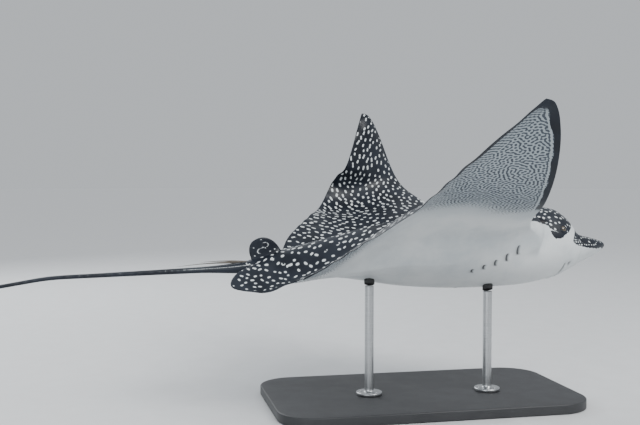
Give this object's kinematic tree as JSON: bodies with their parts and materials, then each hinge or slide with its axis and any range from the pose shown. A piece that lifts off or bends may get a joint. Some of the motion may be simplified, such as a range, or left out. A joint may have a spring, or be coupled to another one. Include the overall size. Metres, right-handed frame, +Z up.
{
  "type": "spotted eagle ray display model",
  "caption": "Life-size spotted eagle ray, banked with one wing low and the other raised and curled at its tip, held on a flat base by short rods.",
  "frame": {"origin": "centre of the stand base's underside, which rests on the floor", "axes": "the ray looks along -Y, its tail runs towards +Y, its right side is towards -X, +Z is up"},
  "size_m": [1.398, 2.3682, 0.7414],
  "materials": {
    "skin": "moist smooth skin, blue-black with white spots above, white with dark scribbles below",
    "eye": "wet, glassy, dark",
    "horn": "dull pale horn with fine barbs",
    "stand_paint": "satin charcoal paint",
    "stand_metal": "brushed steel"
  },
  "bodies": {
    "root": {"rostrum": "skin", "head": "skin", "trunk": "skin", "hips": "skin", "dorsal_fin": "skin", "wing_right_inner": "skin", "wing_right_outer": "skin", "pelvic_fin_right": "skin", "eye_right": "eye", "wing_left_inner": "skin", "wing_left_outer": "skin", "pelvic_fin_left": "skin", "eye_left": "eye", "tail_1": "skin", "tail_2": "skin", "tail_3": "skin", "tail_4": "skin", "sting_1": "horn", "sting_2": "horn", "stand_base": "stand_paint", "stand_rod_1": "stand_metal", "stand_rod_2": "stand_metal"}
  },
  "joints": []
}
